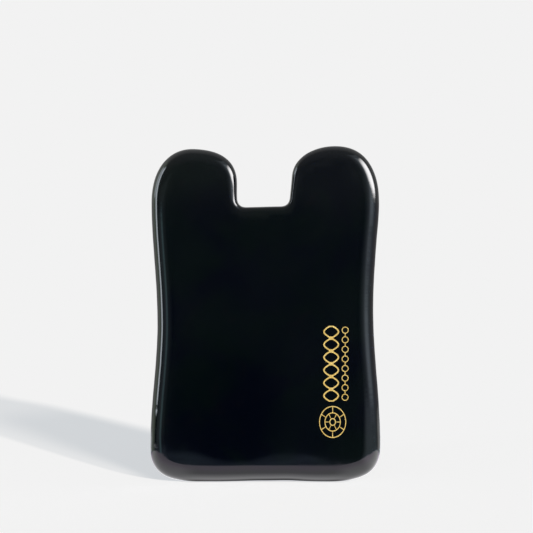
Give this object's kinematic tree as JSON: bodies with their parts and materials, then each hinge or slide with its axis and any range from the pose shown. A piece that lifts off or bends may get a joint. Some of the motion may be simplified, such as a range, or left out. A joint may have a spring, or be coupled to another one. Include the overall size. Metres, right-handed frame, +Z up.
{
  "type": "gua sha scraper",
  "caption": "Polished black stone facial massage plate with two rounded lobes, a notch between them, waisted sides, a heavy rounded rim and a gilt ornament.",
  "frame": {"origin": "on the plane the plate stands on, on its centre line, halfway through its thickness", "axes": "+Z up the plate towards the lobes, X across its width, Y through its thickness with the printed face towards -Y"},
  "size_m": [0.0586, 0.0091, 0.0852],
  "materials": {
    "polished_stone": "mirror-polished black stone",
    "gilt_print": "satin gold foil print"
  },
  "bodies": {
    "root": {"scraper_body": "polished_stone", "gilt_emblem": "gilt_print", "gilt_main_band": "gilt_print", "gilt_fine_line": "gilt_print"}
  },
  "joints": []
}
